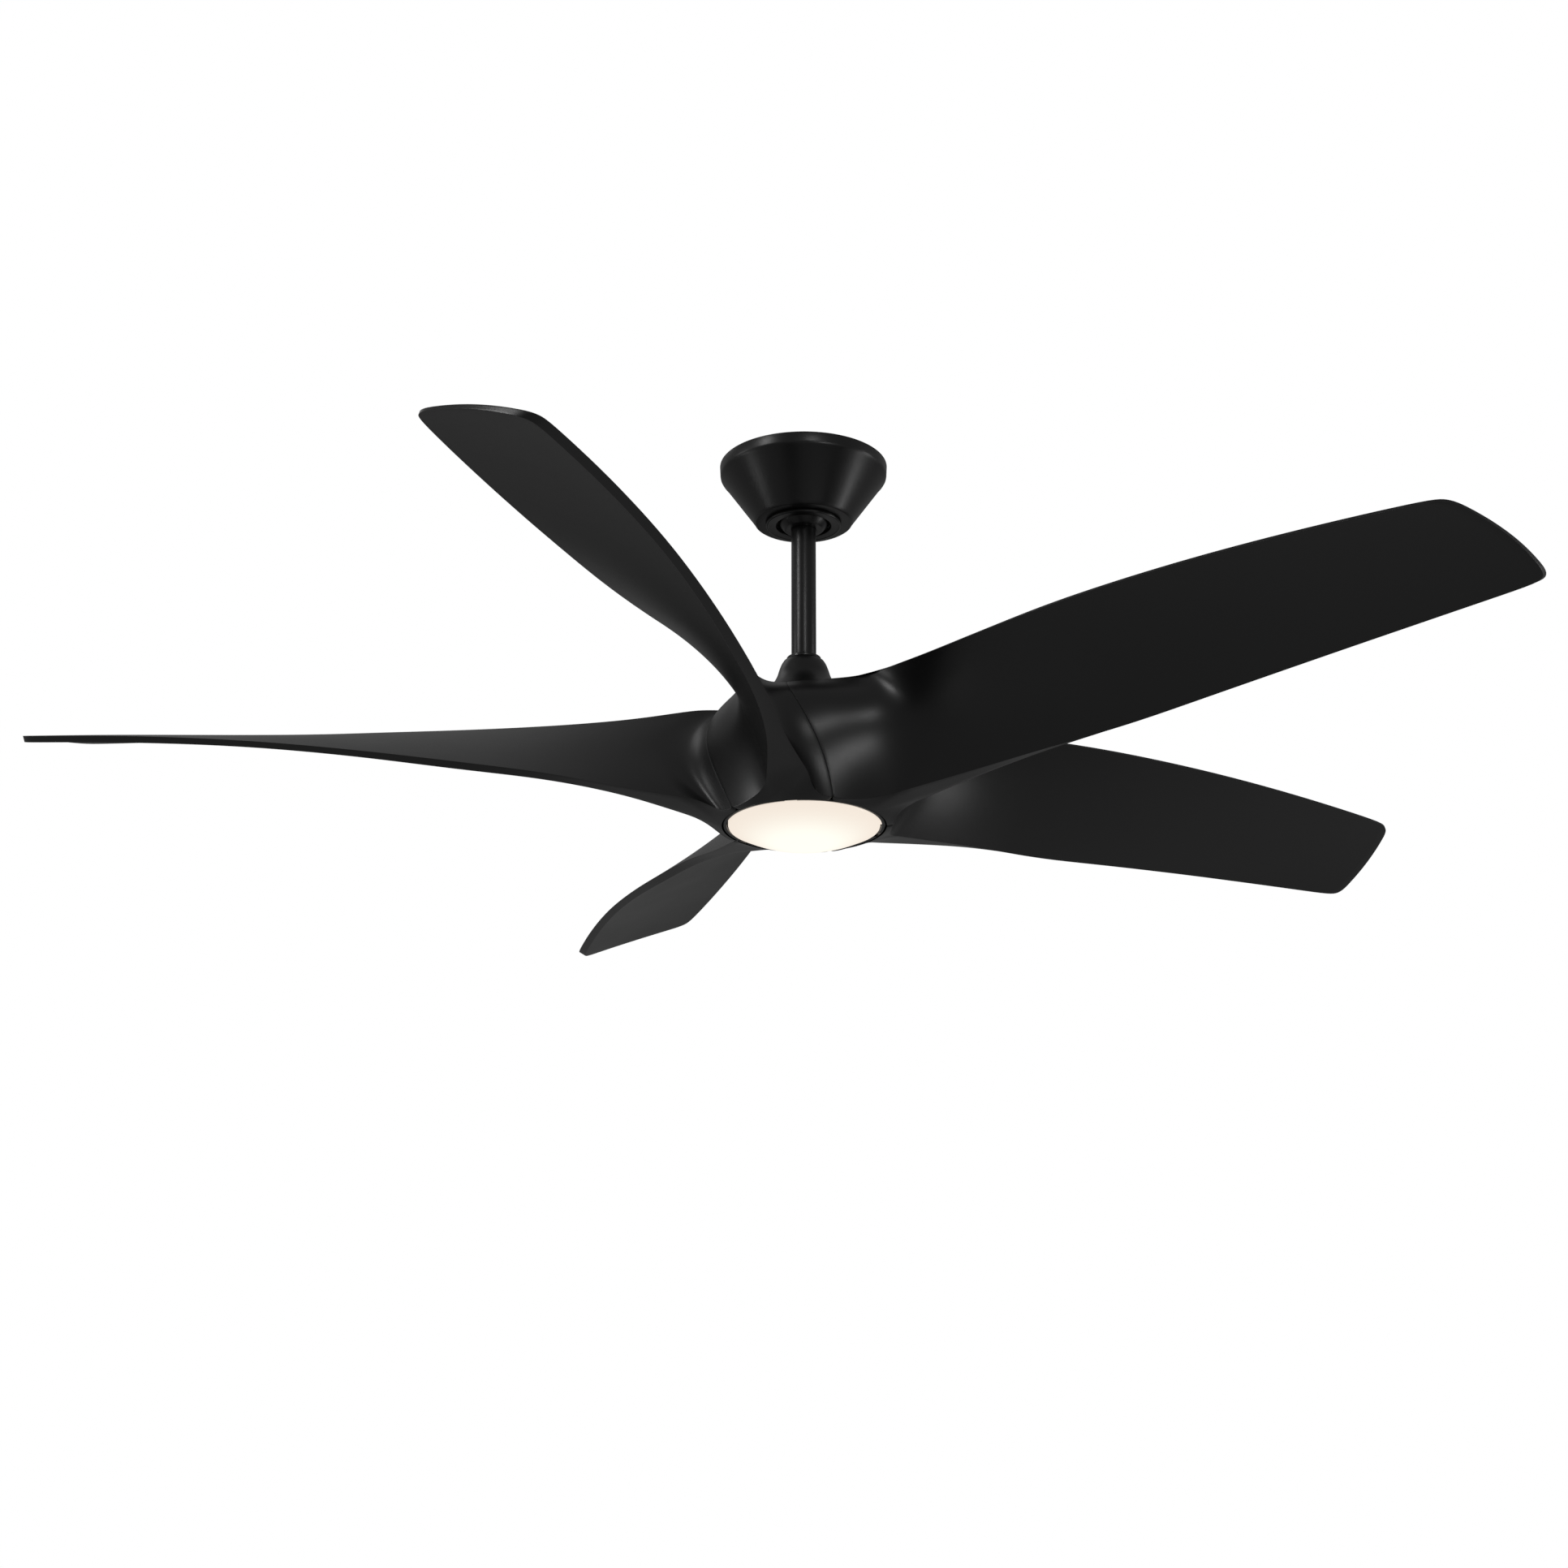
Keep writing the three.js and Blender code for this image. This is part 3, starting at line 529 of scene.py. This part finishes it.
def tip_share(w):
    """How far out the tip lies, for a share w of the chord: bulged, slanted, with round corners."""
    corner = 0.09
    corner_cut = 9
    tip_x = 657
    tip_slant = 28
    tip_bulge = 32
    in_corner = max(0, (corner - min(w, 1 - w)) / corner)
    cut = corner_cut * (1 - math.sqrt(1 - in_corner ** 2))
    x = tip_x - tip_slant * w + tip_bulge * w * (1 - w) - cut
    return 1 - (edge_end_x - x) / edge_rate


def blade_point(t, w, top):
    """A point on the blade's underside or top, at t along it and w across from its trailing edge."""
    lead = along(leading_edge, t)
    trail = along(trailing_edge, t)
    across = Vector((0, lead.z - trail.z, trail.y - lead.y)).normalized()
    start = trail if top else along(crease, t)
    end = lead + across * edge_thickness if top else lead
    camber = blade_camber * 4 * w * (1 - w) * min(1, 3 * t)
    return start.lerp(end, w) + across * camber


def on_hub(radius, degrees, z):
    """A point at a radius and an angle round the hub."""
    angle = math.radians(degrees)
    return Vector((radius * math.cos(angle), radius * math.sin(angle), z))


def root_rail(seam, seam_deg, t, w, top, reach, steps):
    """Points from the hub's seam to the blade, along a fillet that leaves both smoothly."""
    look_ahead = 0.02
    flattest = 0.5
    steepening = 5
    blade = blade_point(t, w, top)
    out = (blade_point(t + look_ahead, w, top) - blade).normalized()
    turn = math.radians(seam_deg)
    round_hub = Vector((-math.sin(turn), math.cos(turn), 0))
    if top:
        out.z *= min(1, flattest + steepening * w)
        round_hub.negate()
    length = (blade - seam).length * reach
    from_hub = seam + round_hub * length
    to_blade = blade - out * length
    points = []
    for i in range(steps + 1):
        s = i / steps
        r = 1 - s
        near = seam * r ** 3 + from_hub * (3 * r * r * s)
        points.append(near + to_blade * (3 * r * s * s) + blade * s ** 3)
    return points


def blade_mesh():
    """The cage of one blade and its hub sector, about blade azimuth 0, in metres."""
    rows = [0, 0.03, 0.09, 0.18, 0.3, 0.43, 0.56, 0.69, 0.81, 0.91, 0.97, 1]
    root_steps = 8
    span_steps = 18
    wall = 3.5
    seam_foot_deg = 33
    seam_lean = 0.2
    seam_sweep = 0.001
    hub_foot = (69.5, 0)
    hub_rim = (54.6, 109)
    root_bulge = 0.13
    under_reach = 0.42
    top_reach = 0.5
    mesh = bmesh.new()
    sharp = mesh.edges.layers.float.new("crease_edge")
    under = []
    over = []
    hub_over = []
    inner = []

    def placed(points):
        return [mesh.verts.new(p * MM) for p in points]

    for w in rows:
        ring = along(hub_profile, w)
        seam_deg = -(seam_foot_deg + seam_lean * ring.z + seam_sweep * ring.z ** 2)
        start_deg = seam_deg + seam_gap_deg
        end_deg = seam_deg + pitch_deg - seam_gap_deg
        root_t = root_bulge * math.sin(math.pi * w)
        tip_t = tip_share(w)
        start = on_hub(ring.x, start_deg, ring.z)
        end = on_hub(ring.x, end_deg, ring.z)
        span = [root_t + (tip_t - root_t) * j / span_steps for j in range(span_steps + 1)]
        outward = [blade_point(t, w, True) for t in span]
        below = root_rail(start, start_deg, root_t, w, False, under_reach, root_steps)
        below += [blade_point(t, w, False) for t in span[1:]]
        above = root_rail(end, end_deg, root_t, w, True, top_reach, root_steps)
        under.append(placed(below))
        top_row = placed(outward)
        over.append(top_row)
        hub_over.append([top_row[0], *placed(above[-2::-1])])
        slope = (along(hub_profile, min(1, w + 0.01)) - along(hub_profile, max(0, w - 0.01))).normalized()
        inner_r = ring.x - slope.z * wall
        inner_z = ring.z + slope.x * wall
        if w == 0:
            inner_r, inner_z = hub_foot
        if w == 1:
            inner_r, inner_z = hub_rim
        inner.append(placed(
            on_hub(inner_r, start_deg + (end_deg - start_deg) * j / (2 * root_steps), inner_z)
            for j in range(2 * root_steps + 1)
        ))

    def quad(*corners, flip=False):
        mesh.faces.new(corners[::-1] if flip else corners)

    def grid(points, flip):
        for row, row_after in zip(points, points[1:]):
            for a, b, c, d in zip(row, row[1:], row_after[1:], row_after):
                quad(a, b, c, d, flip=flip)

    grid(under, False)
    grid(hub_over, False)
    grid(over, True)
    grid(inner, True)
    for i in range(len(rows) - 1):
        quad(under[i][-1], over[i][-1], over[i + 1][-1], under[i + 1][-1])
        quad(inner[i][0], under[i][0], under[i + 1][0], inner[i + 1][0])
        quad(inner[i][-1], inner[i + 1][-1], hub_over[i + 1][-1], hub_over[i][-1])
    for row in (0, len(rows) - 1):
        flip = row > 0
        for j in range(root_steps):
            far = root_steps + j
            quad(inner[row][j], inner[row][j + 1], under[row][j + 1], under[row][j], flip=flip)
            quad(inner[row][far], inner[row][far + 1], hub_over[row][j + 1], hub_over[row][j], flip=flip)
        middle = [inner[row][root_steps], over[row][0], under[row][root_steps]]
        mesh.faces.new(middle[::-1] if flip else middle)
        for j in range(span_steps):
            u = root_steps + j
            quad(under[row][u], over[row][j], over[row][j + 1], under[row][u + 1], flip=flip)

    edge_lines = [under[0], under[-1], over[0], over[-1], hub_over[0], hub_over[-1], inner[0], inner[-1]]
    for ends in (under, over, hub_over, inner):
        edge_lines.append([line[-1] for line in ends])
    edge_lines += [[line[0] for line in under], [line[0] for line in inner]]
    for line in edge_lines:
        for a, b in zip(line, line[1:]):
            edge = mesh.edges.get((a, b))
            if edge:
                edge[sharp] = 1
    data = bpy.data.meshes.new("blade")
    mesh.to_mesh(data)
    mesh.free()
    return data


blade_data = blade_mesh()
master = bpy.data.objects.new("blade_master", blade_data)
bpy.context.collection.objects.link(master)
modified(master, "SUBSURF", levels=2, render_levels=2)
edged(master, 0.45)
tab_inner_r = 70.5
tab_outer_r = 85.2
tab_low = 47.8
tab_height = 5.0
tab_start_deg = -43
tab_sweep_deg = 65
tab_steps = 14
blade_hole_circle_r = 75
blade_hole_r = 2.1 * MM
blade_hole_degs = (-32, 12)
drill_over = 1
bpy.ops.object.select_all(action="DESELECT")
bpy.ops.mesh.primitive_plane_add(size=1, rotation=(math.pi / 2, 0, 0))
tab = bpy.context.object
tab.scale = ((tab_outer_r - tab_inner_r) * MM, tab_height * MM, 1)
tab.location = ((tab_outer_r + tab_inner_r) / 2 * MM, 0, (tab_low + tab_height / 2) * MM)
whole(tab)
bpy.ops.object.mode_set(mode="EDIT")
bpy.ops.mesh.select_all(action="SELECT")
bpy.ops.mesh.spin(steps=tab_steps, angle=math.radians(tab_sweep_deg), center=(0, 0, 0), axis=(0, 0, 1))
bpy.ops.mesh.select_all(action="SELECT")
bpy.ops.mesh.normals_make_consistent(inside=False)
bpy.ops.object.mode_set(mode="OBJECT")
tab.rotation_euler.z = math.radians(tab_start_deg)
whole(tab)
combined(master, tab, "UNION")
for hole_deg in blade_hole_degs:
    hole = on_hub(blade_hole_circle_r, hole_deg, 0) * MM
    hole_low = (hole.x, hole.y, (tab_low - drill_over) * MM)
    hole_high = (hole.x, hole.y, (tab_low + tab_height + drill_over) * MM)
    drilled(master, blade_hole_r, hole_low, hole_high)
smoothed(master)
for k in range(blade_count):
    blade = bpy.data.objects.new(f"moulded_blade_{k + 1}", master.data.copy())
    bpy.context.collection.objects.link(blade)
    turn = Matrix.Rotation(math.radians(first_blade_deg + k * pitch_deg), 4, "Z")
    blade.data.transform(Matrix.Translation((0, 0, lens_plane)) @ turn)
    fitted(blade, black_plastic, "rotor", "black_plastic", f"blade_{k + 1}")
bpy.data.objects.remove(master)

# Crown: the black moulded cap that closes the top of the hub round the coupling cover. It
# is pushed down inside the rims of the blades' hub sectors and turns with them.
crown_profile = [
    (50.0, 85.1),
    (50.0, 106.0),
    (54.1, 106.8),
    (54.1, 109.2),
    (45.0, 111.5),
    (35.0, 113.6),
    (24.5, 114.6),
    (24.0, 114.0),
    (24.0, 112.4),
    (35.0, 111.4),
    (45.0, 109.2),
    (48.0, 108.4),
    (48.0, 85.1),
    (50.0, 85.1),
]
crown = drawn_ring("hub_crown_cap", crown_profile, 96, lens_plane)
edged(crown, 0.3)
fitted(crown, black_plastic, "rotor", "black_plastic", "hub_crown")

# Light: the driver and led boards on an aluminium plate that the shaft's nut holds still.
# The black coated bezel screws to the plate; three notches in its lip let the lens's lugs in.
solder_mask = finish("green_solder_mask", (0.02, 0.13, 0.06), 0.35, mottle=0.2, blotch=120, grain=900)
white_mask = finish("white_solder_mask", (0.82, 0.82, 0.79), 0.4, mottle=0.04, blotch=120, grain=900)
cable_skin = finish("cable_insulation", (0.025, 0.025, 0.025), 0.55, mottle=0.1, blotch=60, grain=800)
coat(solder_mask, "driver_board")
coat(white_mask, "led_board")
coat(cable_skin, "wire_harness")
coat(bright_zinc, "shaft_nut", "lens_ring_screw_1", "lens_ring_screw_2", "lens_ring_screw_3")
bezel_profile = [
    (65.4, 0.3),
    (67.6, 0.0),
    (68.3, 0.8),
    (68.3, 11.7),
    (54.0, 11.7),
    (54.0, 9.6),
    (67.3, 9.6),
    (67.3, 2.8),
    (65.4, 2.8),
    (65.4, 0.3),
]
bezel = drawn_ring("light_bezel", bezel_profile, 128, lens_plane)
lug_count = 3
twist_deg = 20
entry_size = (3.1 * MM, 10.5 * MM, 5 * MM)
entry_place = (65.75 * MM, 0, lens_plane + 1.5 * MM)
bezel_hole_circle_r = 60
bezel_hole_r = 1.8 * MM
bezel_hole_low = lens_plane + 9 * MM
bezel_hole_high = lens_plane + 13 * MM
hole_from_lug_deg = 60
for i in range(lug_count):
    lug_deg = 360 / lug_count * i
    combined(bezel, block(entry_size, entry_place, lug_deg + twist_deg), "DIFFERENCE")
    screw = on_hub(bezel_hole_circle_r, lug_deg + hole_from_lug_deg, 0) * MM
    drilled(bezel, bezel_hole_r, (screw.x, screw.y, bezel_hole_low), (screw.x, screw.y, bezel_hole_high))
edged(bezel, 0.2)
fitted(bezel, black_coat, "suspension", "black_painted_metal", "lens_ring")

# Lens: a dome of opal plastic, lit warm white from behind. It has a short straight rim with
# three lugs, and twists out of the bezel.
lens_r = 64.0
lens_sag = 17.0
lens_wall = 2.0
rim_round = 1.5
dome_steps = 16
centre_r = 0.02
lug_size = (3 * MM, 9 * MM, 3.2 * MM)
lug_place = (64.9 * MM, 0, lens_plane + 5 * MM)
dome_r = (lens_r ** 2 + lens_sag ** 2) / (2 * lens_sag)
edge_angle = math.asin((lens_r - rim_round) / dome_r)
lens_profile = [(lens_r, 7.6), (lens_r, 1.0), (lens_r - 0.5, -0.6)]
for i in range(dome_steps + 1):
    angle = edge_angle * (1 - i / dome_steps)
    dome_height = dome_r * (1 - math.cos(angle)) - lens_sag
    lens_profile.append((max(dome_r * math.sin(angle), centre_r), dome_height))
dome = drawn_ring("opal_dome", lens_profile, 128, lens_plane)
bpy.ops.object.mode_set(mode="EDIT")
bpy.ops.mesh.select_all(action="DESELECT")
bpy.ops.object.mode_set(mode="OBJECT")
for vertex in dome.data.vertices:
    vertex.select = vertex.co.to_2d().length < 0.1 * MM
bpy.ops.object.mode_set(mode="EDIT")
bpy.ops.mesh.merge(type="CENTER")
bpy.ops.mesh.select_all(action="SELECT")
bpy.ops.mesh.normals_make_consistent(inside=False)
bpy.ops.object.mode_set(mode="OBJECT")
modified(dome, "SOLIDIFY", thickness=lens_wall * MM, offset=-1)
edged(dome, 0.5)
for i in range(lug_count):
    lug = block(lug_size, lug_place, 360 / lug_count * i)
    combined(dome, lug, "UNION")
smoothed(dome)
glow_flat_share = 0.3
opal = bpy.data.materials.new("opal_lit")
opal_shader = shader_of(opal)
opal_shader.inputs["Base Color"].default_value = (0.3, 0.29, 0.27, 1)
opal_shader.inputs["Roughness"].default_value = 0.35
nodes = opal.node_tree.nodes
link = opal.node_tree.links.new
place = nodes.new("ShaderNodeTexCoord")
flat = nodes.new("ShaderNodeVectorMath")
flat.operation = "MULTIPLY"
flat.inputs[1].default_value = (1, 1, 0)
link(place.outputs["Object"], flat.inputs[0])
radius = nodes.new("ShaderNodeVectorMath")
radius.operation = "LENGTH"
link(flat.outputs["Vector"], radius.inputs[0])
share = nodes.new("ShaderNodeMapRange")
share.inputs["From Max"].default_value = lens_r * MM
link(radius.outputs["Value"], share.inputs["Value"])
glow = nodes.new("ShaderNodeValToRGB")
glow.color_ramp.interpolation = "EASE"
glow.color_ramp.elements[0].position = glow_flat_share
glow.color_ramp.elements[0].color = (1.0, 0.98, 0.88, 1)
glow.color_ramp.elements[1].position = 1.0
glow.color_ramp.elements[1].color = (0.86, 0.76, 0.66, 1)
link(share.outputs["Result"], glow.inputs["Fac"])
link(glow.outputs["Color"], opal_shader.inputs["Emission Color"])
opal_shader.inputs["Emission Strength"].default_value = 0.95
fitted(dome, opal, "lens", "opal_lens", "lens")
